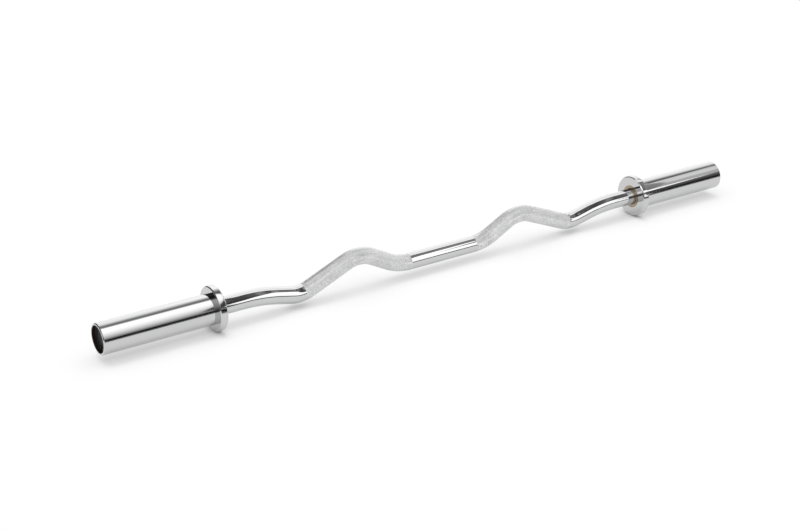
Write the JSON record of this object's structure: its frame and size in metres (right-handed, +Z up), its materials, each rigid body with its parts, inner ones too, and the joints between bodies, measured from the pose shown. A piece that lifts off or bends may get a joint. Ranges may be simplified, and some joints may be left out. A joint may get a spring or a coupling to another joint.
{
  "type": "ez curl bar",
  "caption": "Chromed curl bar: a cambered shaft with knurled angled grips, and at each end a free-turning sleeve with a stop collar for large-bore weight plates.",
  "frame": {"origin": "on the floor under the middle of the bar, which lies on its two collars", "axes": "+X along the bar, from the left-hand sleeve to the right-hand one; +Z up, the way the humps of the grips point"},
  "size_m": [1.22, 0.072, 0.0732],
  "materials": {
    "chrome": "bright chrome plate over steel, knurled on the grips",
    "bronze": "turned bearing bronze, oiled",
    "steel": "ground bright steel",
    "spring_steel": "phosphated spring steel",
    "cap_plastic": "black moulded plastic"
  },
  "bodies": {
    "bar": {"shaft": "chrome", "left_shoulder_washer": "steel", "left_end_washer": "steel", "left_shaft_ring": "spring_steel", "right_shoulder_washer": "steel", "right_end_washer": "steel", "right_shaft_ring": "spring_steel"},
    "left_sleeve_unit": {"left_sleeve": "chrome", "left_collar": "chrome", "left_inner_bushing": "bronze", "left_outer_bushing": "bronze", "left_bushing_ring": "spring_steel", "left_cap_ring": "spring_steel", "left_end_cap": "cap_plastic"},
    "right_sleeve_unit": {"right_sleeve": "chrome", "right_collar": "chrome", "right_inner_bushing": "bronze", "right_outer_bushing": "bronze", "right_bushing_ring": "spring_steel", "right_cap_ring": "spring_steel", "right_end_cap": "cap_plastic"}
  },
  "joints": [
    {"name": "left_sleeve_spin", "type": "hinge", "parent": "bar", "child": "left_sleeve_unit", "pos_m": [-0.5, 0, 0.036], "axis": [1, 0, 0], "continuous": true},
    {"name": "right_sleeve_spin", "type": "hinge", "parent": "bar", "child": "right_sleeve_unit", "pos_m": [0.5, 0, 0.036], "axis": [1, 0, 0], "continuous": true}
  ]
}
